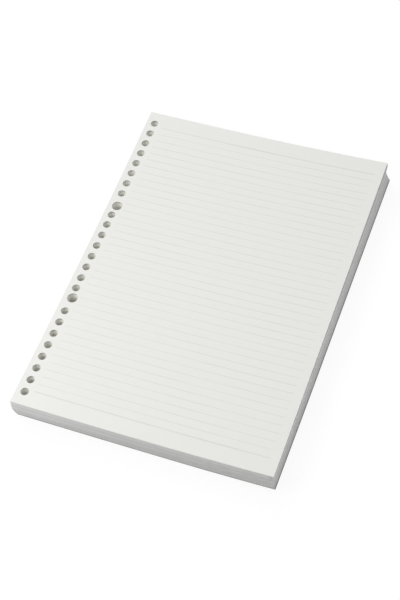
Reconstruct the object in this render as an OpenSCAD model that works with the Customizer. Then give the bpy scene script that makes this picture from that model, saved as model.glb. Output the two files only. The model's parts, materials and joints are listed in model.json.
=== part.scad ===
// Stack of loose, punched refill sheets for a ring binder.
// The stack lies flat: X runs across the sheets with the punched edge at -X,
// Y runs along the punched edge, and Z is up from the surface under the stack.
// Sheet 1 is on top, and the sheets are squared up on their holes.

/* [Sheet] */
// Width of a sheet, square to the punched edge
sheet_w = 182; // [148:1:216]
// Length of a sheet, along the punched edge
sheet_l = 257; // [252:1:297]
// Thickness of one sheet of writing paper
sheet_t = 0.09; // [0.07:0.005:0.12]
// Air that stays between two loose sheets
air_gap = 0.0025; // [0.002:0.0005:0.01]
// Air that stays under the top sheet, which has no weight on it
top_air = 0.09; // [0.08:0.005:0.3]

/* [Stack] */
// Sheets in a packet, counted off in the order that they lie
packet_sheets = 20; // [10:1:30]
// Packets in the stack
packets = 10; // [2:1:12]

/* [Punching] */
// Distance from one ring hole to the next
hole_pitch = 9.5; // [9:0.1:9.6]
// Diameter of a ring hole
hole_d = 5.6; // [5:0.1:6]
// Paper left between the edge of the sheet and the rims of the holes
rim_margin = 3.4; // [2.5:0.1:6]
// Distance between the two large file holes
file_hole_spacing = 82; // [81:0.5:83]
// Diameter of a large file hole
file_hole_d = 7.4; // [6.5:0.1:8]
// How far the ring hole next to a file hole moves over to make room for it
side_step = 0.6; // [0.3:0.1:1]

/* [Hidden] */
$fn = 48;
paper = [0.92, 0.92, 0.90];
hole_count = 26;
// Places of the file hole and of the hole that moves over for it, counted outwards from
// 0 at the middle of the row
file_place = 4;
moved_place = 3;
sheet_count = packet_sheets * packets;
sheet_rise = sheet_t + air_gap;

// Height of the underside of a sheet
function sheet_z(number) =
    (sheet_count - number) * sheet_rise + (number == 1 ? top_air - air_gap : 0);

function three_digits(number) = str(number < 100 ? "0" : "", number < 10 ? "0" : "", number);
function sheet_name(number) = str("sheet_", three_digits(number));
function filling_name(packet) =
    str("sheets_", three_digits(first_sheet(packet)), "_to_", three_digits(last_sheet(packet) - 1));
function first_sheet(packet) = (packet - 1) * packet_sheets + 1;
function last_sheet(packet) = packet * packet_sheets;

// The sheets of the top packet are named one by one. Lower packets have a named bottom sheet,
// and the sheets above it in the packet are a group.
LOOSE = [
    for (number = [1:packet_sheets]) number,
    for (packet = [2:packets]) last_sheet(packet)
];

// Distance of a hole from the middle of the row, by its place
function row_offset(place) =
    place == file_place ? file_hole_spacing / 2
    : (place + 0.5) * hole_pitch - (place == moved_place ? side_step : 0);
function row_diameter(place) = place == file_place ? file_hole_d : hole_d;

module hole_row() {
    for (place = [0:hole_count / 2 - 1], side = [-1, 1])
        translate([rim_margin + row_diameter(place) / 2 - sheet_w / 2, side * row_offset(place)])
            circle(d = row_diameter(place));
}

module sheet(number) {
    translate([0, 0, sheet_z(number)])
        linear_extrude(sheet_t)
            difference() {
                square([sheet_w, sheet_l], center = true);
                hole_row();
            }
}

module loose_sheet(number) {
    color(paper) sheet(number);
}

module packet_filling(packet) {
    color(paper)
        for (number = [first_sheet(packet):last_sheet(packet) - 1]) sheet(number);
}

for (number = LOOSE)
    loose_sheet(number);
for (packet = [2:packets])
    packet_filling(packet);
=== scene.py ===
"""Flat stack of loose ruled sheets, punched for a ring binder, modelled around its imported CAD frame."""

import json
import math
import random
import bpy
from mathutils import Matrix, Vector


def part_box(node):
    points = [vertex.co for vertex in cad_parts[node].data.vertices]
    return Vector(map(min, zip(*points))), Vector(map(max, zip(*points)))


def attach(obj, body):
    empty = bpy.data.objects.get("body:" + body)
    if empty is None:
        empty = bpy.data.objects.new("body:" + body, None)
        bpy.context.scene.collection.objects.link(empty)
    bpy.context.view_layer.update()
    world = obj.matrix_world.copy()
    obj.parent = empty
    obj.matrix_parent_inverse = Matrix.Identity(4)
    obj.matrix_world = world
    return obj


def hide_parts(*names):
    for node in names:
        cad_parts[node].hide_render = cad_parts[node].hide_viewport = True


bl_info = {
    "name": "Loose-Leaf Paper Stack",
    "version": (1, 0, 0),
    "blender": (4, 5, 0),
    "location": "View3D > Sidebar > Paper Stack",
    "description": "Models a stack of loose ruled sheets with a row of ring holes around its CAD frame",
    "category": "Add Mesh",
}

import bpy
from bpy.props import (
    FloatProperty,
    FloatVectorProperty,
    IntProperty,
    PointerProperty,
)
from mathutils import Matrix, Vector

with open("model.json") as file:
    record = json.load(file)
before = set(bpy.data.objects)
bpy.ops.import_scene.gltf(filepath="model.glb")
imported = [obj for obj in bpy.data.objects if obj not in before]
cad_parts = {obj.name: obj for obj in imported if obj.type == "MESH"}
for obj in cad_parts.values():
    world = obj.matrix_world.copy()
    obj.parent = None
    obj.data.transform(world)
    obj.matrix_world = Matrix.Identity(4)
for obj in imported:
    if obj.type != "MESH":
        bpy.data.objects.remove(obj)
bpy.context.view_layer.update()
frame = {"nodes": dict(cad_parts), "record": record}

MM = 0.001
SHADE = "sheet_shade"
DEPTH = "sheet_depth"
FACE_SLOT, EDGE_SLOT, HOLE_SLOT = 0, 1, 2
BLACK = (0.0, 0.0, 0.0, 1.0)
WHITE = (1.0, 1.0, 1.0, 1.0)

SINGLE_PREFIX = "sheet_"
GROUP_PREFIX = "sheets_"
TOP_LOW, TOP_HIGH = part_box("sheet_001")
SECOND_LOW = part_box("sheet_002")[0]
SHEET_COUNT = max(int(name[-3:]) for name in frame["nodes"] if name.startswith(SINGLE_PREFIX))
BOTTOM_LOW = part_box(f"{SINGLE_PREFIX}{SHEET_COUNT:03d}")[0]
SHEET_RISE = (SECOND_LOW.z - BOTTOM_LOW.z) / (SHEET_COUNT - 2)
# Sheets in the top packet, which the CAD names one by one
TOP_PACKET = 20

# What the properties of one kind share. A tone multiplies a colour and may lighten it
LENGTH = {"unit": "LENGTH", "subtype": "DISTANCE"}
ANGLE = {"unit": "ROTATION", "subtype": "ANGLE"}
COLOUR = {"size": 4, "min": 0.0, "max": 1.0, "subtype": "COLOR"}
TONE = {**COLOUR, "max": 1.2}

# Upright faces this near to the outline of the flat sheet are cut edges, and the others line holes
EDGE_REACH = 0.5 * MM
# Part of a unit normal from which a face counts as turned that way
TURNED = 0.5
# Length of the punch pins, in thicknesses of the sheet
PIN_LENGTH = 20
SMOOTH_ANGLE = math.radians(30)
# Points of the settling lattice across, along and up the stack
CAGE_POINTS = (11, 11, 5)
# Power by which the extra height of the punched corners fades across the sheet
CORNER_FADE = 1.5

# Slides in the stack: the depth at which each starts and the depth that it takes, from 0 to 1
LEFT_OUT = (0.08, 0.42)
LEFT_BACK = (0.55, 0.35)
RIGHT_OUT = (0.8, 0.13)
BACK_OUT = (0.86, 0.14)
UPPER_TURN = (0.0, 0.12)
LOWER_TURN = (0.55, 0.28)
# Sheets from one random knot to the next, for the drift of the sheets and the bands of shade
DRIFT_STEP = 14
BAND_STEP = 5
# Turn of a single sheet, as a share of the turn that drifts
JOG_TURN = 0.4
# Shade of a cut edge: its mean, and how far the bands and the single sheets go from it
MEAN_SHADE, BAND_SHADE, FLECK_SHADE = 0.5, 0.22, 0.18

# Layout of the nodes, and the sockets of a mix node that carry colours
NODE_WIDTH, NODE_DROP, NODE_ROWS = 190, 60, 4
MIX_FIRST, MIX_SECOND, MIX_RESULT = 6, 7, 2

# Noises in the paper, as scales along X, Y and Z
FIBRES_ALONG_X = (900, 3200, 3200)
FIBRES_ALONG_Y = (3000, 800, 3000)
CLOUDS = (170, 170, 170)
RUBBED_PATCHES = (60, 60, 900)
THIN_INK = (24, 40, 1)
FIBRE_DETAIL = 3.0
# Shares of the fibres and the clouds in the mass of the paper, and the mean of that mass
FIBRE_SHARE, CLOUD_SHARE, MEAN_MASS = 0.6, 0.4, 0.53
# Part that the rubbed patches have in the shade of a cut edge
PATCH_SHARE = 0.5
# How far the fibres change the tone of a face, a cut edge and a wall, and how high they stand
FACE_TONE, EDGE_TONE, WALL_TONE = 0.05, 0.12, 0.08
FACE_RELIEF, EDGE_RELIEF = 0.03 * MM, 0.05 * MM
RELIEF_STRENGTH = 0.35
PAPER_SPECULAR = 0.25
# Width of the strip along the edges of a covered sheet that takes the colours of the edges, as painted
# shade from the sheets above
EDGE_STRIP = 3.5 * MM
# Blur of a printed line, and how far the ruled field goes past its first and last line
LINE_BLUR = 0.12 * MM
FIELD_MARGIN = 1 * MM
# Part of -X in the normal of the walls with the strongest painted glow
LIT_SIDE = 0.15

# Ramps: the low and the high value that goes in, and what comes out for each
MATT_FIBRES = (0.3, 0.75, 0.82, 0.94)
INK_ON_FIBRES = (0.35, 0.7, 0.75, 1.0)
UNEVEN_PRINT = (0.35, 0.65, 0.55, 1.0)
# Painted light and shade on the cut edges: lighter towards the top of the stack and darker towards the
# bottom
PAINTED_LIGHT_TO_SHADE = (0.0, 1.0, 0.3, -0.3)
DARK_TO_LIGHT = (0.25, 1.25, 0.0, 1.0)
# Painted contact shadow on the cut edges of the bottom sheets
PAINTED_CONTACT_SHADOW = (0.86, 0.98, 0.0, 1.0)
# Painted light and shade on the free long edge: lighter near the top, darker towards the bottom and just
# under the top sheets
PAINTED_SHADE_BELOW = (0.4, 1.0, 0.0, 1.0)
PAINTED_SHADE_UNDER_TOP = (0.05, 0.64, 0.68, 1.0)
COVERED_SHEETS = (0.006, 0.012, 0.0, 1.0)
# Painted shade on the walls just under the rim of a hole
RIM_SHADE_TO_WALL = (0.01, 0.12, 0.0, 1.0)
# Painted glow in the holes: from a little under the rim, fading with depth, and weaker away from one side
RIM_TO_GLOW = (0.045, 0.18, 0.0, 1.0)
GLOW_TO_DEPTH = (0.2, 0.42, 1.0, 0.3)
GLOW_ASIDE = (0.0, 1.0, 1.0, 0.18)

# Lamps: where each stands and how long its side is
KEY_LAMP = ((-0.35, -0.3, 0.5), 0.3)
LOW_LAMP = ((-0.28, -0.32, 0.1), 0.15)
BACK_LAMP = ((-0.5, 0.6, 0.9), 0.6)
SIDE_LAMP = ((0.75, -0.1, 0.3), 0.3)
# Side of the floor, and how far it lies below the stack
FLOOR_SIZE = 12
FLOOR_DROP = 0.1 * MM
# Strength of the white that the floor shows by itself, and the colour that shadows fall on
FLOOR_WHITE = 0.9
FLOOR_SHADOW = (0.12, 0.12, 0.12, 1.0)
# Height of the camera's picture in millimetres
SENSOR_HEIGHT = 36


class SheetSizes(bpy.types.PropertyGroup):
    """Sizes of one punched sheet."""

    width: FloatProperty(
        name="Width",
        description="Size of a sheet square to its punched edge",
        default=TOP_HIGH.x - TOP_LOW.x,
        min=0.05,
        **LENGTH,
    )
    length: FloatProperty(
        name="Length",
        description="Size of a sheet along its punched edge",
        default=TOP_HIGH.y - TOP_LOW.y,
        min=0.05,
        **LENGTH,
    )
    thickness: FloatProperty(
        name="Thickness",
        description="Thickness of the paper",
        default=TOP_HIGH.z - TOP_LOW.z,
        min=0.00002,
        precision=5,
        **LENGTH,
    )
    punched_strip: FloatProperty(
        name="Punched Strip",
        description="Width of the strip of paper that holds the row of holes",
        default=12.0 * MM,
        min=0.005,
        **LENGTH,
    )
    bend_columns: IntProperty(
        name="Bend Columns",
        description="Faces across a sheet beside the punched strip, along which it can bend",
        default=7,
        min=1,
    )
    rim_sides: IntProperty(
        name="Rim Sides",
        description="Sides of a hole in the sheets of the top packet",
        default=32,
        min=8,
    )
    buried_sides: IntProperty(
        name="Buried Sides",
        description="Sides of a hole in the sheets below the top packet",
        default=16,
        min=8,
    )


class StackSettling(bpy.types.PropertyGroup):
    """How the loose sheets lie on each other."""

    punched_rise: FloatProperty(
        name="Punched Rise",
        description="Height of the punched edge over the middle of a sheet, from the curl of the paper",
        default=0.85 * MM,
        **LENGTH,
    )
    free_rise: FloatProperty(
        name="Free Rise",
        description="Height of the free long edge over the middle of a sheet",
        default=1.75 * MM,
        **LENGTH,
    )
    back_corner: FloatProperty(
        name="Back Corner",
        description="Extra height of the back corner of the punched edge",
        default=2.73 * MM,
        **LENGTH,
    )
    front_corner: FloatProperty(
        name="Front Corner",
        description="Extra height of the front corner of the punched edge",
        default=2.08 * MM,
        **LENGTH,
    )
    bottom_sides: FloatProperty(
        name="Bottom Sides",
        description="Share of the rise of the long edges that the bottom sheet has",
        default=0.6,
        min=0.0,
        max=1.0,
    )
    bottom_corners: FloatProperty(
        name="Bottom Corners",
        description="Share of the extra height of the corners that the bottom sheet has",
        default=0.33,
        min=0.0,
        max=1.0,
    )
    foot_corner: FloatProperty(
        name="Foot Corner",
        description="Extra height of the bottom sheets at the front corner of the free long edge",
        default=1.1 * MM,
        **LENGTH,
    )
    jog: FloatProperty(
        name="Jog",
        description="How far one sheet lies out of line with the next",
        default=0.05 * MM,
        precision=5,
        **LENGTH,
    )
    slide_left: FloatProperty(
        name="Slide Left",
        description="How far the sheets at half height have slid towards the punched edge",
        default=1.03 * MM,
        precision=5,
        **LENGTH,
    )
    slide_right: FloatProperty(
        name="Slide Right",
        description="How far the bottom sheets have slid towards the free long edge",
        default=0.88 * MM,
        precision=5,
        **LENGTH,
    )
    slide_back: FloatProperty(
        name="Slide Back",
        description="How far the bottom sheets have slid towards the back",
        default=0.6 * MM,
        precision=5,
        **LENGTH,
    )
    upper_turn: FloatProperty(
        name="Upper Turn",
        description="Clockwise turn of the upper half of the stack against the top sheet",
        default=math.radians(0.15),
        **ANGLE,
    )
    lower_turn: FloatProperty(
        name="Lower Turn",
        description="Clockwise turn of the bottom sheets against the top sheet",
        default=math.radians(0.44),
        **ANGLE,
    )
    drift: FloatProperty(
        name="Drift",
        description="How far the sheets wander sideways over a packet",
        default=0.10 * MM,
        precision=5,
        **LENGTH,
    )
    turn: FloatProperty(
        name="Turn",
        description="How far one sheet is turned against the next",
        default=math.radians(0.02),
        **ANGLE,
    )
    seed: IntProperty(
        name="Seed",
        description="Seed for the places of the sheets",
        default=26,
    )


class PaperFinish(bpy.types.PropertyGroup):
    """Colours and ruling of the paper."""

    paper_colour: FloatVectorProperty(
        name="Paper",
        description="Colour of the off-white writing paper",
        default=(0.848, 0.854, 0.813, 1.0),
        **COLOUR,
    )
    line_colour: FloatVectorProperty(
        name="Ruled Lines",
        description="Colour of the ruled lines",
        default=(0.715, 0.715, 0.673, 1.0),
        **COLOUR,
    )
    # Each sheet's mix of the light and dark edge colours is random tone; the dark colour also paints the
    # shade in the gaps between loose sheets
    edge_light: FloatVectorProperty(
        name="Light Cut Edge",
        description="Colour of the cut edges that stand a little proud",
        default=(0.86, 0.862, 0.838, 1.0),
        **COLOUR,
    )
    edge_dark: FloatVectorProperty(
        name="Dark Cut Edge",
        description="Colour of the cut edges that lie back in the stack",
        default=(0.70, 0.702, 0.682, 1.0),
        **COLOUR,
    )
    # Painted contact shadow: near-black colour that the cut edges of the bottom sheets take, for the shade
    # by the floor
    edge_contact_shadow: FloatVectorProperty(
        name="Painted Contact Shadow",
        description="Colour of the cut edges at the bottom of the stack",
        default=(0.18, 0.18, 0.176, 1.0),
        **COLOUR,
    )
    # Painted light near the top and painted shade at the bottom of the free long edge, as tones on the
    # other edge colours
    free_edge_painted_light: FloatVectorProperty(
        name="Free Edge Painted Light",
        description="Tone of the free long edge, against the other edges, near the top",
        default=(1.12, 1.115, 1.14, 1.0),
        **TONE,
    )
    free_edge_painted_shade: FloatVectorProperty(
        name="Free Edge Painted Shade",
        description="Tone of the free long edge, against the other edges, at the bottom",
        default=(0.93, 0.925, 0.95, 1.0),
        **TONE,
    )
    hole_colour: FloatVectorProperty(
        name="Punched Wall",
        description="Colour of the walls of the punched holes",
        default=(0.90, 0.89, 0.85, 1.0),
        **COLOUR,
    )
    # Painted shade in the top of each hole, where the wall lies in shadow
    rim_painted_shade: FloatVectorProperty(
        name="Painted Rim Shade",
        description="Colour of the walls of the holes just under the top sheets",
        default=(0.45, 0.44, 0.42, 1.0),
        **COLOUR,
    )
    # Painted glow: emission on the hole walls that stands for light through the paper
    hole_painted_glow: FloatVectorProperty(
        name="Painted Glow Through Paper",
        description="Light that comes through the paper into the holes",
        default=(0.23, 0.229, 0.212, 1.0),
        **COLOUR,
    )
    line_pitch: FloatProperty(
        name="Line Pitch",
        description="Distance from one ruled line to the next",
        default=5.974 * MM,
        min=0.002,
        **LENGTH,
    )
    line_width: FloatProperty(
        name="Line Width",
        description="Width of a ruled line",
        default=0.43 * MM,
        precision=5,
        **LENGTH,
    )
    outer_line_width: FloatProperty(
        name="Outer Line Width",
        description="Width of the first and the last ruled line",
        default=0.88 * MM,
        precision=5,
        **LENGTH,
    )
    outer_line: FloatProperty(
        name="Outer Line",
        description="Distance of the first and the last line from the middle of the ruling",
        default=116.5 * MM,
        **LENGTH,
    )
    ruling_shift: FloatProperty(
        name="Ruling Shift",
        description="How far the ruling is printed off the middle of the sheet, towards the foot",
        default=0.35 * MM,
        precision=5,
        **LENGTH,
    )
    line_start: FloatProperty(
        name="Line Start",
        description="Distance of the lines from the punched edge",
        default=12.5 * MM,
        **LENGTH,
    )
    line_stop: FloatProperty(
        name="Line Stop",
        description="Distance of the lines from the free long edge",
        default=6.0 * MM,
        **LENGTH,
    )


class StudioStage(bpy.types.PropertyGroup):
    """Floor, light and camera."""

    azimuth: FloatProperty(
        name="Azimuth",
        description="Direction of the camera around the stack",
        default=math.radians(29.426),
        **ANGLE,
    )
    elevation: FloatProperty(
        name="Elevation",
        description="Height of the camera over the horizon",
        default=math.radians(56.248),
        **ANGLE,
    )
    roll: FloatProperty(
        name="Roll",
        description="Turn of the camera about its own line of sight",
        default=math.radians(-11.086),
        **ANGLE,
    )
    aim: FloatVectorProperty(
        name="Aim",
        description="Point in the middle of the picture",
        default=(1.22 * MM, -17.50 * MM, 18.43 * MM),
        size=3,
        unit="LENGTH",
        subtype="TRANSLATION",
    )
    distance: FloatProperty(
        name="Distance",
        description="Distance of the camera from its aim",
        default=0.88427,
        **LENGTH,
    )
    lens: FloatProperty(
        name="Lens",
        description="Focal length in millimetres on a picture 36 mm high",
        default=78.191,
    )
    key_power: FloatProperty(
        name="Key Power",
        description="Power of the near lamp at the front left",
        default=1.028,
        unit="POWER",
    )
    low_power: FloatProperty(
        name="Low Power",
        description="Power of the small low lamp by the front corner of the punched edge",
        default=0.243,
        unit="POWER",
    )
    low_colour: FloatVectorProperty(
        name="Low Colour",
        description="Colour of the small low lamp, a little cooler than the others",
        default=(0.91, 0.925, 1.0),
        size=3,
        min=0.0,
        max=1.0,
        subtype="COLOR",
    )
    back_power: FloatProperty(
        name="Back Power",
        description="Power of the high lamp at the back left",
        default=4.70,
        unit="POWER",
    )
    side_power: FloatProperty(
        name="Side Power",
        description="Power of the low lamp at the right, which lights the free long edge",
        default=1.206,
        unit="POWER",
    )
    fill: FloatProperty(
        name="Fill",
        description="Strength of the even light from all around",
        default=0.465,
        min=0.0,
    )
    floor_colour: FloatVectorProperty(
        name="Floor",
        description="Colour of the pale floor, as light that bounces off it sees it",
        default=(0.35, 0.35, 0.35, 1.0),
        **COLOUR,
    )


def deselect_all():
    """Leaves nothing selected, so that the next operator acts on the new piece alone."""
    if bpy.context.object and bpy.context.object.mode != "OBJECT":
        bpy.ops.object.mode_set(mode="OBJECT")
    bpy.ops.object.select_all(action="DESELECT")


def make_active(piece):
    """Selects one piece and nothing else."""
    deselect_all()
    piece.select_set(True)
    bpy.context.view_layer.objects.active = piece


def apply_modifier(piece, modifier):
    """Applies one modifier of a piece to its mesh."""
    make_active(piece)
    bpy.ops.object.modifier_apply(modifier=modifier.name)


def join_pieces(pieces, name):
    """Joins several objects into the first of them."""
    deselect_all()
    for piece in pieces:
        piece.select_set(True)
    bpy.context.view_layer.objects.active = pieces[0]
    if len(pieces) > 1:
        bpy.ops.object.join()
    pieces[0].name = name
    return pieces[0]


def remove_object(piece):
    """Deletes a helper object and the data that only it uses."""
    data = piece.data
    bpy.data.objects.remove(piece)
    if data.users == 0:
        holder = bpy.data.lattices if isinstance(data, bpy.types.Lattice) else bpy.data.meshes
        holder.remove(data)


def punched_holes():
    """(x, y, radius) of each hole, in order along the edge, from the pairs that the record states."""
    holes = []
    for mount in frame["record"]["mounts"]:
        if mount["kind"] != "bolt_pattern":
            continue
        half_gap = mount["dims"]["spacing_y_mm"] * MM / 2
        radius = mount["dims"]["hole_r_mm"] * MM
        holes += [(mount["pos_m"][0], side * half_gap, radius) for side in (-1, 1)]
    return sorted(holes, key=lambda hole: hole[1])


def bend_rows(holes):
    """Places along the edge, each in the paper between two holes, where a sheet can bend."""
    rows = []
    for near, far in list(zip(holes, holes[1:]))[1::2]:
        rows.append((near[1] + near[2] + far[1] - far[2]) / 2)
    return rows


def cut_across(plane_point, plane_normal):
    """Cuts all faces of the mesh in edit mode along a plane."""
    bpy.ops.mesh.select_all(action="SELECT")
    bpy.ops.mesh.bisect(plane_co=plane_point, plane_no=plane_normal)


def punch(sheet, holes, sides):
    """Punches the row of holes through a sheet."""
    depth = PIN_LENGTH * sheet.dimensions.z
    pins = []
    for x, y, radius in holes:
        deselect_all()
        bpy.ops.mesh.primitive_cylinder_add(vertices=sides, radius=radius, depth=depth, location=(x, y, 0))
        pins.append(bpy.context.object)
    pins = join_pieces(pins, "punch_pins")
    cut = sheet.modifiers.new("punch", "BOOLEAN")
    cut.operation = "DIFFERENCE"
    cut.solver = "EXACT"
    cut.object = pins
    apply_modifier(sheet, cut)
    remove_object(pins)


def slot_of(face, sizes):
    """Material slot of a face of the flat sheet: printed face, outer cut edge or wall of a hole."""
    if abs(face.normal.z) > TURNED:
        return FACE_SLOT
    inside_x = sizes.width / 2 - abs(face.center.x)
    inside_y = sizes.length / 2 - abs(face.center.y)
    return EDGE_SLOT if min(inside_x, inside_y) < EDGE_REACH else HOLE_SLOT


def model_sheet(sides):
    """One flat punched sheet around the origin, from which the sheets of the stack are copied."""
    sizes = bpy.context.scene.paper_sheet
    holes = punched_holes()
    deselect_all()
    bpy.ops.mesh.primitive_cube_add(size=1, scale=(sizes.width, sizes.length, sizes.thickness))
    sheet = bpy.context.object
    sheet.name = "master_sheet"
    bpy.ops.object.transform_apply(location=True, rotation=True, scale=True)
    bpy.ops.object.mode_set(mode="EDIT")
    strip_edge = sizes.punched_strip - sizes.width / 2
    column = (sizes.width / 2 - strip_edge) / sizes.bend_columns
    for number in range(sizes.bend_columns):
        cut_across((strip_edge + number * column, 0, 0), (1, 0, 0))
    for row in bend_rows(holes):
        cut_across((0, row, 0), (0, 1, 0))
    bpy.ops.object.mode_set(mode="OBJECT")
    punch(sheet, holes, sides)
    finish = bpy.context.scene.paper_finish
    sheet.data.materials.clear()
    for make_material in (ruled_paper, cut_edge, punched_wall):
        sheet.data.materials.append(make_material(finish))
    for face in sheet.data.polygons:
        face.material_index = slot_of(face, sizes)
    make_active(sheet)
    bpy.ops.object.shade_smooth_by_angle(angle=SMOOTH_ANGLE)
    return sheet


def eased(share):
    """A soft step from 0 to 1."""
    share = min(max(share, 0.0), 1.0)
    return share * share * (3 - 2 * share)


def smooth_steps(draws, count, step):
    """A smooth curve through random draws, one for every few sheets, as one value for each sheet."""
    knots = [draws.uniform(-1, 1) for _ in range(count // step + 3)]
    curve = []
    for number in range(count + 1):
        place, share = divmod(number, step)
        share = eased(share / step)
        curve.append(knots[place] * (1 - share) + knots[place + 1] * share)
    return curve


def depth_of(number):
    """Depth of a sheet in the stack, from 0 for the top sheet to 1 for the bottom one."""
    return (number - 1) / (SHEET_COUNT - 1)


def slid(depth, slide):
    """Share of a slide that the sheets at a depth have made."""
    start, run = slide
    return eased((depth - start) / run)


def slide_of(number, settling):
    """(x, y, turn) of a sheet that has slid: left towards half height, and right at the bottom."""
    depth = depth_of(number)
    left = slid(depth, LEFT_OUT) - slid(depth, LEFT_BACK)
    x = settling.slide_right * slid(depth, RIGHT_OUT) - settling.slide_left * left
    y = settling.slide_back * slid(depth, BACK_OUT)
    lower = slid(depth, LOWER_TURN)
    upper = slid(depth, UPPER_TURN)
    turn = settling.upper_turn * upper * (1 - lower) + settling.lower_turn * lower
    return x, y, -turn


def sheet_places(settling):
    """(x, y, turn, shade) for each sheet number: how it lies against the CAD, and its edge's shade."""
    draws = random.Random(settling.seed)
    drift_x, drift_y, drift_turn = (smooth_steps(draws, SHEET_COUNT, DRIFT_STEP) for _ in range(3))
    bands = smooth_steps(draws, SHEET_COUNT, BAND_STEP)
    places = []
    for number in range(SHEET_COUNT + 1):
        jog_x, jog_y, jog_turn, fleck = (draws.uniform(-1, 1) for _ in range(4))
        x, y, turn = slide_of(number, settling)
        x += settling.drift * drift_x[number] + settling.jog * jog_x
        y += settling.drift * drift_y[number] + settling.jog * jog_y
        turn += settling.turn * (drift_turn[number] + JOG_TURN * jog_turn)
        shade = MEAN_SHADE + BAND_SHADE * bands[number] + FLECK_SHADE * fleck
        places.append((x, y, turn, shade))
    return places


def lay_copy(master, number, place):
    """A copy of the flat sheet, moved in its mesh to where the sheet of that number lies."""
    x, y, turn, shade = place
    mesh = master.data.copy()
    low = TOP_LOW.z if number == 1 else BOTTOM_LOW.z + (SHEET_COUNT - number) * SHEET_RISE
    height = low + master.dimensions.z / 2
    mesh.transform(Matrix.Translation((x, y, height)) @ Matrix.Rotation(turn, 4, "Z"))
    for name, value in ((SHADE, shade), (DEPTH, depth_of(number))):
        layer = mesh.attributes.new(name, "FLOAT", "POINT")
        layer.data.foreach_set("value", [value] * len(mesh.vertices))
    copy = bpy.data.objects.new(f"copy_{number:03d}", mesh)
    bpy.context.scene.collection.objects.link(copy)
    return copy


def past_half(share):
    """0 up to half of the way, and from there up to 1."""
    return max(0.0, 2 * share - 1)


def curl_at(x, y, z, settling):
    """Rise of a point by the curl of the paper.

    The point is given in shares of half the width, half the length and the height of the stack.
    """
    side = settling.punched_rise if x < 0 else settling.free_rise
    corner = settling.back_corner if y > 0 else settling.front_corner
    near_punching = max(0.0, (1 - x) / 2) ** CORNER_FADE
    side_share = settling.bottom_sides + (1 - settling.bottom_sides) * z
    corner_share = settling.bottom_corners + (1 - settling.bottom_corners) * z
    foot = settling.foot_corner * past_half(x) * past_half(-y) * (1 - z)
    return side * side_share * x * x + corner * corner_share * y * y * near_punching + foot


def settling_lattice(settling):
    """A lattice around the stack, raised towards its edges as the curl of the paper raises the sheets."""
    sizes = bpy.context.scene.paper_sheet
    half_width, half_length = sizes.width / 2, sizes.length / 2
    height = TOP_HIGH.z
    deselect_all()
    bpy.ops.object.add(type="LATTICE", location=(0, 0, height / 2))
    lattice = bpy.context.object
    lattice.name = "settling"
    cage = lattice.data
    cage.points_u, cage.points_v, cage.points_w = CAGE_POINTS
    cage.interpolation_type_u = "KEY_CATMULL_ROM"
    cage.interpolation_type_v = "KEY_CATMULL_ROM"
    cage.interpolation_type_w = "KEY_CATMULL_ROM"
    # The outermost cells lie around the stack, so that the curve is even up to its edges
    spans = (sizes.width, sizes.length, height)
    lattice.scale = [span * (points - 1) / (points - 3) for span, points in zip(spans, CAGE_POINTS)]
    bpy.context.view_layer.update()
    for point in cage.points:
        x, y, z = lattice.matrix_world @ point.co
        rise = curl_at(x / half_width, y / half_length, z / height, settling)
        point.co_deform.z += rise / lattice.scale.z
    return lattice


def settle(piece, lattice):
    """Gives a piece the curl of the whole stack."""
    bend = piece.modifiers.new("settle", "LATTICE")
    bend.object = lattice
    apply_modifier(piece, bend)


def body_of(node):
    """The CAD body that a node belongs to."""
    bodies = frame["record"]["behaviour"]["bodies"]
    return next(body for body, members in bodies.items() if node in members)


def numbers_of(node):
    """First and last sheet number in a node's name."""
    numbers = [int(word) for word in node.split("_") if word.isdigit()]
    return numbers[0], numbers[-1]


def build_sheets(nodes, sides):
    """Models the sheets of some CAD nodes and ties each piece to its node and body."""
    settling = bpy.context.scene.paper_settling
    places = sheet_places(settling)
    master = model_sheet(sides)
    lattice = settling_lattice(settling)
    for node in nodes:
        first, last = numbers_of(node)
        copies = [lay_copy(master, number, places[number]) for number in range(first, last + 1)]
        piece = join_pieces(copies, f"paper_{node}")
        settle(piece, lattice)
        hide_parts(node)
        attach(piece, body_of(node))
    remove_object(lattice)
    remove_object(master)
    deselect_all()


def single_sheets(first, last):
    """Names of the nodes of one sheet with a number from first to last."""
    names = [f"{SINGLE_PREFIX}{number:03d}" for number in range(first, last + 1)]
    return [name for name in names if name in frame["nodes"]]


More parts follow.
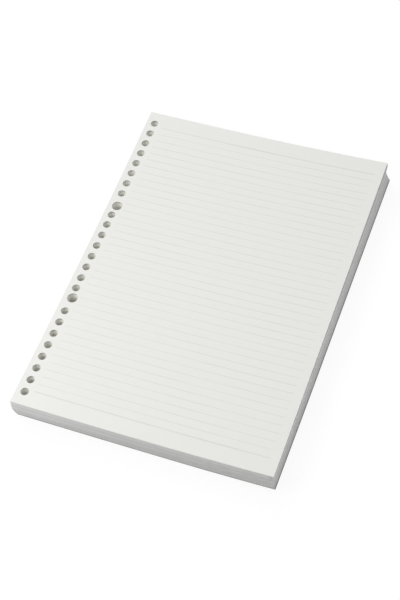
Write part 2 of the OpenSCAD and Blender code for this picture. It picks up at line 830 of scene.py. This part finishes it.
class NodeBench:
    """Adds nodes to a tree and links them, from left to right."""

    def __init__(self, tree):
        self.tree = tree
        self.column = 0

    def add(self, kind, label="", **settings):
        node = self.tree.nodes.new(kind)
        node.label = label
        node.location = (self.column * NODE_WIDTH, -NODE_DROP * (self.column % NODE_ROWS))
        self.column += 1
        for name, value in settings.items():
            setattr(node, name, value)
        return node

    def link(self, out_socket, in_socket):
        self.tree.links.new(out_socket, in_socket)

    def feed(self, value, in_socket):
        """Links a socket, or sets a plain value."""
        if isinstance(value, bpy.types.NodeSocket):
            self.link(value, in_socket)
        else:
            in_socket.default_value = value

    def math(self, operation, first, second=0.0, label=""):
        node = self.add("ShaderNodeMath", label, operation=operation)
        self.feed(first, node.inputs[0])
        self.feed(second, node.inputs[1])
        return node.outputs[0]

    def ramp(self, value, span, label=""):
        """A soft step over a span of two values in and two values out."""
        node = self.add("ShaderNodeMapRange", label, interpolation_type="SMOOTHSTEP")
        for socket, number in zip(node.inputs, (value, *span)):
            self.feed(number, socket)
        return node.outputs["Result"]

    def mix(self, share, first, second, label="", blend="MIX"):
        node = self.add("ShaderNodeMix", label, data_type="RGBA", blend_type=blend)
        self.feed(share, node.inputs["Factor"])
        self.feed(first, node.inputs[MIX_FIRST])
        self.feed(second, node.inputs[MIX_SECOND])
        return node.outputs[MIX_RESULT]

    def noise(self, vector, scales, detail=2.0, label=""):
        """Noise with a scale for each axis."""
        mapping = self.add("ShaderNodeMapping", label)
        self.link(vector, mapping.inputs["Vector"])
        mapping.inputs["Scale"].default_value = scales
        node = self.add("ShaderNodeTexNoise", label)
        self.link(mapping.outputs["Vector"], node.inputs["Vector"])
        node.inputs["Scale"].default_value = 1.0
        node.inputs["Detail"].default_value = detail
        return node.outputs["Fac"]

    def axes(self, vector):
        """The X, Y and Z of a vector."""
        node = self.add("ShaderNodeSeparateXYZ")
        self.link(vector, node.inputs["Vector"])
        return node.outputs

    def sheet_value(self, name):
        """A value that each sheet carries in its mesh."""
        return self.add("ShaderNodeAttribute", name, attribute_name=name).outputs["Fac"]


def fibre_group():
    """Fibres and clouds of uncoated paper, shared by the faces, the cut edges and the holes."""
    name = "Paper Fibres"
    if name in bpy.data.node_groups:
        return bpy.data.node_groups[name]
    group = bpy.data.node_groups.new(name, "ShaderNodeTree")
    group.interface.new_socket("Vector", in_out="INPUT", socket_type="NodeSocketVector")
    depth = group.interface.new_socket("Depth", in_out="INPUT", socket_type="NodeSocketFloat")
    depth.default_value = FACE_TONE
    group.interface.new_socket("Tone", in_out="OUTPUT", socket_type="NodeSocketColor")
    group.interface.new_socket("Height", in_out="OUTPUT", socket_type="NodeSocketFloat")
    bench = NodeBench(group)
    entry = bench.add("NodeGroupInput")
    place = entry.outputs["Vector"]
    long_fibres = bench.noise(place, FIBRES_ALONG_X, FIBRE_DETAIL, "fibres along X")
    cross_fibres = bench.noise(place, FIBRES_ALONG_Y, FIBRE_DETAIL, "fibres along Y")
    clouds = bench.noise(place, CLOUDS, label="clouds")
    fibres = bench.math("MAXIMUM", long_fibres, cross_fibres, "matted fibres")
    fibre_mass = bench.math("MULTIPLY", fibres, FIBRE_SHARE)
    mass = bench.math("ADD", fibre_mass, bench.math("MULTIPLY", clouds, CLOUD_SHARE))
    centred = bench.math("SUBTRACT", mass, MEAN_MASS, "around zero")
    tone = bench.math("ADD", bench.math("MULTIPLY", centred, entry.outputs["Depth"]), 1.0, "tone")
    grey = bench.add("ShaderNodeCombineColor")
    for channel in grey.inputs[:3]:
        bench.link(tone, channel)
    way_out = bench.add("NodeGroupOutput")
    bench.link(grey.outputs[0], way_out.inputs["Tone"])
    bench.link(fibres, way_out.inputs["Height"])
    return group


def paper_shader(bench, colour, fibres, relief):
    """The shader of uncoated paper, with its fibres in the roughness and the bump."""
    shader = bench.add("ShaderNodeBsdfPrincipled", "uncoated paper")
    bench.link(colour, shader.inputs["Base Color"])
    rough = bench.ramp(fibres, MATT_FIBRES, "matt fibres")
    bench.link(rough, shader.inputs["Roughness"])
    shader.inputs["Specular IOR Level"].default_value = PAPER_SPECULAR
    bump = bench.add("ShaderNodeBump", "fibre relief")
    bump.inputs["Strength"].default_value = RELIEF_STRENGTH
    bump.inputs["Distance"].default_value = relief
    bench.link(fibres, bump.inputs["Height"])
    bench.link(bump.outputs["Normal"], shader.inputs["Normal"])
    surface = bench.add("ShaderNodeOutputMaterial")
    bench.link(shader.outputs["BSDF"], surface.inputs["Surface"])
    return shader


def add_fibres(bench, vector, depth):
    """Places the shared fibres in a material and returns their tone and their height."""
    fibres = bench.add("ShaderNodeGroup", "fibres", node_tree=fibre_group())
    bench.link(vector, fibres.inputs["Vector"])
    fibres.inputs["Depth"].default_value = depth
    return fibres.outputs["Tone"], fibres.outputs["Height"]


def new_material(name):
    """A material with an empty node tree."""
    material = bpy.data.materials.new(name)
    material.use_nodes = True
    material.node_tree.nodes.clear()
    return material


def edge_group(finish):
    """Shades of the cut edges over the height of the stack, also for the strips between them, with painted
    light and shade: lighter near the top, a painted contact shadow at the foot, and painted light and
    shade on the free long edge.
    """
    name = "Edge Shades"
    if name in bpy.data.node_groups:
        return bpy.data.node_groups[name]
    group = bpy.data.node_groups.new(name, "ShaderNodeTree")
    group.interface.new_socket("Vector", in_out="INPUT", socket_type="NodeSocketVector")
    group.interface.new_socket("Normal", in_out="INPUT", socket_type="NodeSocketVector")
    group.interface.new_socket("Colour", in_out="OUTPUT", socket_type="NodeSocketColor")
    bench = NodeBench(group)
    entry = bench.add("NodeGroupInput")
    place = entry.outputs["Vector"]
    depth = bench.sheet_value(DEPTH)
    patches = bench.noise(place, RUBBED_PATCHES, label="rubbed patches")
    share = bench.math("ADD", bench.sheet_value(SHADE), bench.math("MULTIPLY", patches, PATCH_SHARE))
    # Painted light at the top of the stack and painted shade towards the bottom
    share = bench.math("ADD", share, bench.ramp(depth, PAINTED_LIGHT_TO_SHADE, "painted light at the top, shade below"))
    share = bench.ramp(share, DARK_TO_LIGHT, "dark to light")
    edges = bench.mix(share, finish.edge_dark, finish.edge_light, "cut edges")
    # Painted contact shadow along the foot of the stack
    low = bench.ramp(depth, PAINTED_CONTACT_SHADOW, "towards the bottom")
    edges = bench.mix(low, edges, finish.edge_contact_shadow, "painted contact shadow")
    # Painted light and shade on the free long edge: lighter near the top, darker below and just under the
    # top sheets
    inner_side = bpy.context.scene.paper_sheet.width / 2 - EDGE_STRIP
    free = bench.math("GREATER_THAN", bench.axes(place)["X"], inner_side, "by the free long edge")
    along = bench.math("ABSOLUTE", bench.axes(entry.outputs["Normal"])["Y"])
    sideways = bench.math("LESS_THAN", along, TURNED, "not the head or the foot")
    free = bench.math("MULTIPLY", free, sideways, "free long edge")
    free_edge_shading = bench.ramp(depth, PAINTED_SHADE_BELOW, "painted shade towards the bottom")
    free_edge_shading = bench.mix(free_edge_shading, finish.free_edge_painted_light, finish.free_edge_painted_shade, "painted light and shade of the free edge")
    upper = bench.ramp(depth, PAINTED_SHADE_UNDER_TOP, "just under the top sheet")
    free_edge_shading = bench.mix(1.0, free_edge_shading, upper, "painted shade under the top sheets", "MULTIPLY")
    edges = bench.mix(free, edges, free_edge_shading, "painted light and shade on the free edge", "MULTIPLY")
    way_out = bench.add("NodeGroupOutput")
    bench.link(edges, way_out.inputs["Colour"])
    return group


def add_edge_shades(bench, spot, finish):
    """Places the shared shades of the edges in a material and returns their colour."""
    shades = bench.add("ShaderNodeGroup", "edge shades", node_tree=edge_group(finish))
    bench.link(spot.outputs["Object"], shades.inputs["Vector"])
    bench.link(spot.outputs["Normal"], shades.inputs["Normal"])
    return shades.outputs["Colour"]


def strip_mask(bench, x, y):
    """1 on the strip along the edges of a covered sheet, which shows out of line and takes the edge
    colours as painted shade, and 0 elsewhere.
    """
    sizes = bpy.context.scene.paper_sheet
    beside = bench.math("GREATER_THAN", bench.math("ABSOLUTE", x), sizes.width / 2 - EDGE_STRIP)
    beyond = bench.math("GREATER_THAN", bench.math("ABSOLUTE", y), sizes.length / 2 - EDGE_STRIP)
    covered = bench.ramp(bench.sheet_value(DEPTH), COVERED_SHEETS, "covered sheets")
    return bench.math("MULTIPLY", bench.math("MAXIMUM", beside, beyond), covered, "strip mask")


def soft_line(bench, distance, width, label):
    """1 on a printed line of some width and 0 off it, from the distance to its middle."""
    half = width / 2
    return bench.ramp(distance, (half - LINE_BLUR, half + LINE_BLUR, 1.0, 0.0), label)


def line_mask(bench, x, y, finish):
    """1 on the ruled lines and 0 on bare paper."""
    sizes = bpy.context.scene.paper_sheet
    y = bench.math("ADD", y, finish.ruling_shift, "from the middle of the ruling")
    from_first = bench.math("ADD", y, finish.outer_line)
    count = bench.math("DIVIDE", from_first, finish.line_pitch)
    nearest = bench.math("ROUND", count)
    off_line = bench.math("ABSOLUTE", bench.math("SUBTRACT", count, nearest))
    off_line = bench.math("MULTIPLY", off_line, finish.line_pitch, "distance to a line")
    lines = soft_line(bench, off_line, finish.line_width, "ruled lines")
    from_middle = bench.math("ABSOLUTE", y)
    off_outer = bench.math("ABSOLUTE", bench.math("SUBTRACT", from_middle, finish.outer_line))
    outer = soft_line(bench, off_outer, finish.outer_line_width, "first and last line")
    lines = bench.math("MAXIMUM", lines, outer)
    head_and_foot = bench.math("LESS_THAN", from_middle, finish.outer_line + FIELD_MARGIN)
    start = bench.math("GREATER_THAN", x, finish.line_start - sizes.width / 2)
    stop = bench.math("LESS_THAN", x, sizes.width / 2 - finish.line_stop)
    ruled = bench.math("MULTIPLY", bench.math("MULTIPLY", start, stop), head_and_foot, "ruled field")
    return bench.math("MULTIPLY", lines, ruled, "line mask")


def ruled_paper(finish):
    """Off-white paper with thin grey lines."""
    name = "ruled_paper"
    if name in bpy.data.materials:
        return bpy.data.materials[name]
    material = new_material(name)
    bench = NodeBench(material.node_tree)
    spot = bench.add("ShaderNodeTexCoord")
    place = spot.outputs["Object"]
    axes = bench.axes(place)
    tone, fibres = add_fibres(bench, place, FACE_TONE)
    mask = line_mask(bench, axes["X"], axes["Y"], finish)
    ink = bench.ramp(fibres, INK_ON_FIBRES, "ink on the fibres")
    thin = bench.noise(place, THIN_INK, label="thin ink")
    ink = bench.math("MULTIPLY", ink, bench.ramp(thin, UNEVEN_PRINT, "uneven print"))
    share = bench.math("MULTIPLY", mask, ink)
    printed = bench.mix(share, finish.paper_colour, finish.line_colour, "paper and lines")
    strip = strip_mask(bench, axes["X"], axes["Y"])
    # Painted shade: the strips of covered sheets take the darker colours of the edges
    printed = bench.mix(strip, printed, add_edge_shades(bench, spot, finish), "painted shade on the strips between the edges")
    colour = bench.mix(1.0, printed, tone, "fibre tone", "MULTIPLY")
    paper_shader(bench, colour, fibres, FACE_RELIEF)
    return material


def cut_edge(finish):
    """Edges of the cut sheets, each a little lighter or darker than the next."""
    name = "cut_edges"
    if name in bpy.data.materials:
        return bpy.data.materials[name]
    material = new_material(name)
    bench = NodeBench(material.node_tree)
    spot = bench.add("ShaderNodeTexCoord")
    tone, fibres = add_fibres(bench, spot.outputs["Object"], EDGE_TONE)
    colour = bench.mix(1.0, add_edge_shades(bench, spot, finish), tone, "fibre tone", "MULTIPLY")
    paper_shader(bench, colour, fibres, EDGE_RELIEF)
    return material


def punched_wall(finish):
    """Walls of the punched holes, with painted shade under the rim and a faint painted glow, an emission
    that stands for the light that comes through the paper.
    """
    name = "punched_walls"
    if name in bpy.data.materials:
        return bpy.data.materials[name]
    material = new_material(name)
    bench = NodeBench(material.node_tree)
    spot = bench.add("ShaderNodeTexCoord")
    tone, fibres = add_fibres(bench, spot.outputs["Object"], WALL_TONE)
    depth = bench.sheet_value(DEPTH)
    # Painted shade on the wall just under the rim
    below_rim = bench.ramp(depth, RIM_SHADE_TO_WALL, "painted rim shade to wall")
    wall = bench.mix(below_rim, finish.rim_painted_shade, finish.hole_colour, "wall")
    colour = bench.mix(1.0, wall, tone, "fibre tone", "MULTIPLY")
    shader = paper_shader(bench, colour, fibres, EDGE_RELIEF)
    # Painted glow: an emission that stands for light through the paper, stronger on one side of each hole
    near_top = bench.ramp(depth, GLOW_TO_DEPTH, "light that gets that deep")
    through = bench.math("MULTIPLY", bench.ramp(depth, RIM_TO_GLOW, "rim to depth"), near_top)
    from_lit = bench.math("ADD", bench.axes(spot.outputs["Normal"])["X"], LIT_SIDE)
    aside = bench.math("ABSOLUTE", from_lit, label="away from the lit side")
    through = bench.math("MULTIPLY", through, bench.ramp(aside, GLOW_ASIDE, "side of the light"))
    glow = bench.mix(through, BLACK, finish.hole_painted_glow, "glow")
    bench.link(glow, shader.inputs["Emission Color"])
    shader.inputs["Emission Strength"].default_value = 1.0
    return material


def seen_directly(bench):
    """1 for rays from the camera, mirrors and glass, which see the pale ground, and 0 for the rest."""
    path = bench.add("ShaderNodeLightPath")
    direct = bench.math("MAXIMUM", path.outputs["Is Camera Ray"], path.outputs["Is Glossy Ray"])
    return bench.math("MAXIMUM", direct, path.outputs["Is Transmission Ray"])


def floor_material(stage):
    """A white ground that keeps a faint shadow, and bounces less light than it shows."""
    material = new_material("pale_floor")
    bench = NodeBench(material.node_tree)
    bounce = bench.add("ShaderNodeBsdfDiffuse", "bounce")
    bounce.inputs["Color"].default_value = stage.floor_colour
    shadow = bench.add("ShaderNodeBsdfDiffuse", "shadow")
    shadow.inputs["Color"].default_value = FLOOR_SHADOW
    white = bench.add("ShaderNodeEmission", "white ground")
    white.inputs["Strength"].default_value = FLOOR_WHITE
    shown = bench.add("ShaderNodeAddShader")
    bench.link(white.outputs[0], shown.inputs[0])
    bench.link(shadow.outputs[0], shown.inputs[1])
    either = bench.add("ShaderNodeMixShader")
    bench.link(seen_directly(bench), either.inputs["Fac"])
    bench.link(bounce.outputs[0], either.inputs[1])
    bench.link(shown.outputs[0], either.inputs[2])
    surface = bench.add("ShaderNodeOutputMaterial")
    bench.link(either.outputs[0], surface.inputs["Surface"])
    return material


def light_world(stage):
    """Even light from all around, shown as white to the camera."""
    world = bpy.data.worlds.new("studio")
    world.use_nodes = True
    world.node_tree.nodes.clear()
    bench = NodeBench(world.node_tree)
    fill = bench.add("ShaderNodeBackground", "fill")
    fill.inputs["Color"].default_value = WHITE
    fill.inputs["Strength"].default_value = stage.fill
    white = bench.add("ShaderNodeBackground", "white ground")
    white.inputs["Color"].default_value = WHITE
    white.inputs["Strength"].default_value = 1.0
    either = bench.add("ShaderNodeMixShader")
    bench.link(seen_directly(bench), either.inputs["Fac"])
    bench.link(fill.outputs[0], either.inputs[1])
    bench.link(white.outputs[0], either.inputs[2])
    surface = bench.add("ShaderNodeOutputWorld")
    bench.link(either.outputs[0], surface.inputs["Surface"])
    bpy.context.scene.world = world


def add_floor(stage):
    """A wide floor under the stack."""
    deselect_all()
    bpy.ops.mesh.primitive_plane_add(size=FLOOR_SIZE, location=(0, 0, -FLOOR_DROP))
    floor = bpy.context.object
    floor.name = "floor"
    floor.data.materials.append(floor_material(stage))


def add_lamp(name, place, size, power, colour=WHITE[:3]):
    """A square soft lamp that points at the stack."""
    deselect_all()
    bpy.ops.object.light_add(type="AREA", location=place)
    lamp = bpy.context.object
    lamp.name = name
    lamp.data.size = size
    lamp.data.energy = power
    lamp.data.color = colour
    lamp.rotation_euler = Vector(place).to_track_quat("Z", "Y").to_euler()


def add_camera(stage):
    """The camera at the photograph's angle, turned about its own line of sight."""
    azimuth, elevation = stage.azimuth, stage.elevation
    back = Vector(
        (
            math.sin(azimuth) * math.cos(elevation),
            -math.cos(azimuth) * math.cos(elevation),
            math.sin(elevation),
        )
    )
    level_right = Vector((math.cos(azimuth), math.sin(azimuth), 0))
    level_up = back.cross(level_right)
    right = level_right * math.cos(stage.roll) + level_up * math.sin(stage.roll)
    up = back.cross(right)
    deselect_all()
    bpy.ops.object.camera_add()
    camera = bpy.context.object
    camera.data.sensor_fit = "VERTICAL"
    camera.data.sensor_height = SENSOR_HEIGHT
    camera.data.lens = stage.lens
    turn = Matrix((right, up, back)).transposed().to_4x4()
    camera.matrix_world = Matrix.Translation(Vector(stage.aim) + back * stage.distance) @ turn
    bpy.context.scene.camera = camera


class PAPER_OT_top_sheet(bpy.types.Operator):
    """Model the ruled sheet on top of the stack, which lifts off."""

    bl_idname = "paper_stack.top_sheet"
    bl_label = "Top Sheet"

    def execute(self, context):
        build_sheets(single_sheets(1, 1), context.scene.paper_sheet.rim_sides)
        return {"FINISHED"}


class PAPER_OT_top_packet(bpy.types.Operator):
    """Model the sheets of the top packet under the top sheet, one by one."""

    bl_idname = "paper_stack.top_packet"
    bl_label = "Top Packet"

    def execute(self, context):
        build_sheets(single_sheets(2, TOP_PACKET), context.scene.paper_sheet.rim_sides)
        return {"FINISHED"}


class PAPER_OT_packet_bottoms(bpy.types.Operator):
    """Model the bottom sheet of each lower packet."""

    bl_idname = "paper_stack.packet_bottoms"
    bl_label = "Packet Bottom Sheets"

    def execute(self, context):
        build_sheets(single_sheets(TOP_PACKET + 1, SHEET_COUNT), context.scene.paper_sheet.buried_sides)
        return {"FINISHED"}


class PAPER_OT_packet_fillings(bpy.types.Operator):
    """Model the other sheets of each lower packet, as a group for each packet."""

    bl_idname = "paper_stack.packet_fillings"
    bl_label = "Packet Fillings"

    def execute(self, context):
        groups = sorted(name for name in frame["nodes"] if name.startswith(GROUP_PREFIX))
        build_sheets(groups, context.scene.paper_sheet.buried_sides)
        return {"FINISHED"}


class PAPER_OT_stage(bpy.types.Operator):
    """Set up the floor, the light and the camera."""

    bl_idname = "paper_stack.stage"
    bl_label = "Studio Stage"

    def execute(self, context):
        stage = context.scene.paper_stage
        context.scene.view_settings.view_transform = "Standard"
        light_world(stage)
        add_floor(stage)
        add_lamp("key_lamp", *KEY_LAMP, stage.key_power)
        add_lamp("low_lamp", *LOW_LAMP, stage.low_power, stage.low_colour)
        add_lamp("back_lamp", *BACK_LAMP, stage.back_power)
        add_lamp("side_lamp", *SIDE_LAMP, stage.side_power)
        add_camera(stage)
        return {"FINISHED"}


class PAPER_PT_stack(bpy.types.Panel):
    """Sizes, finish and steps of the paper stack."""

    bl_idname = "PAPER_PT_stack"
    bl_label = "Paper Stack"
    bl_space_type = "VIEW_3D"
    bl_region_type = "UI"
    bl_category = "Paper Stack"

    def draw(self, context):
        for holder in PROPERTY_HOLDERS:
            box = self.layout.box()
            group = getattr(context.scene, holder)
            for name in group.bl_rna.properties.keys():
                if name not in ("rna_type", "name"):
                    box.prop(group, name)
        for step in STEPS:
            self.layout.operator(step.bl_idname)


PROPERTY_HOLDERS = {
    "paper_sheet": SheetSizes,
    "paper_settling": StackSettling,
    "paper_finish": PaperFinish,
    "paper_stage": StudioStage,
}
STEPS = (
    PAPER_OT_top_sheet,
    PAPER_OT_top_packet,
    PAPER_OT_packet_bottoms,
    PAPER_OT_packet_fillings,
    PAPER_OT_stage,
)
CLASSES = (*PROPERTY_HOLDERS.values(), *STEPS, PAPER_PT_stack)


def register():
    for cls in CLASSES:
        bpy.utils.register_class(cls)
    for holder, group in PROPERTY_HOLDERS.items():
        setattr(bpy.types.Scene, holder, PointerProperty(type=group))


def unregister():
    for holder in PROPERTY_HOLDERS:
        delattr(bpy.types.Scene, holder)
    for cls in reversed(CLASSES):
        bpy.utils.unregister_class(cls)


def main():
    register()
    bpy.ops.paper_stack.top_sheet()
    bpy.ops.paper_stack.top_packet()
    bpy.ops.paper_stack.packet_bottoms()
    bpy.ops.paper_stack.packet_fillings()
    bpy.ops.paper_stack.stage()


if __name__ == "__main__":
    main()
